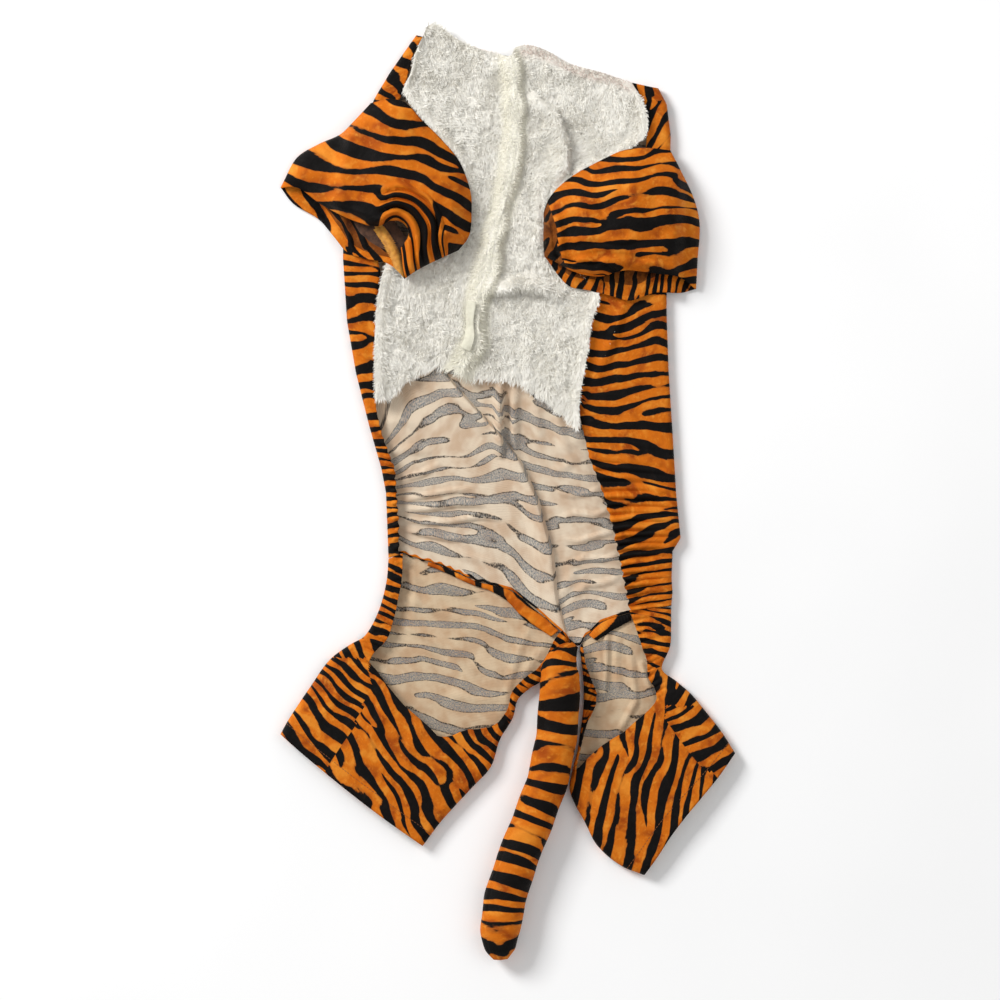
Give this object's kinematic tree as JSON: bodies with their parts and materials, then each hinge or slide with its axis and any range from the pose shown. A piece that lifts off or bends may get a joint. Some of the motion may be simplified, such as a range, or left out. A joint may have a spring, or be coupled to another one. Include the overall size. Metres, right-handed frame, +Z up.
{
  "type": "dog tiger costume",
  "caption": "Full-body dog costume in tiger-print plush, laid flat belly side up, with white fur chest panel, puffed front sleeves, open rear belly, cuffed hind legs and a stuffed tail.",
  "frame": {"origin": "centre of the bounding box in plan, on the floor the costume lies on", "axes": "+Y from tail to head along the dog's back, +X to the right as seen from above, +Z up from the floor; the back panel lies on the floor and the belly side is up"},
  "size_m": [0.4538, 0.9332, 0.0425],
  "materials": {
    "tiger_plush": "short-pile crushed velour, orange with dark brown-black tiger stripes; the wrong side is peach with grey speckled stripes",
    "white_fur": "off-white plush fur with a pile of about 8 mm",
    "white_tape": "soft off-white closure tape"
  },
  "bodies": {
    "root": {"back_body": "tiger_plush", "sleeve_left": "tiger_plush", "sleeve_right": "tiger_plush", "leg_left": "tiger_plush", "leg_right": "tiger_plush", "seat_hem_left": "tiger_plush", "seat_hem_right": "tiger_plush", "tail": "tiger_plush", "belly_left": "white_fur", "belly_right": "white_fur", "closure_tape": "white_tape"}
  },
  "joints": []
}
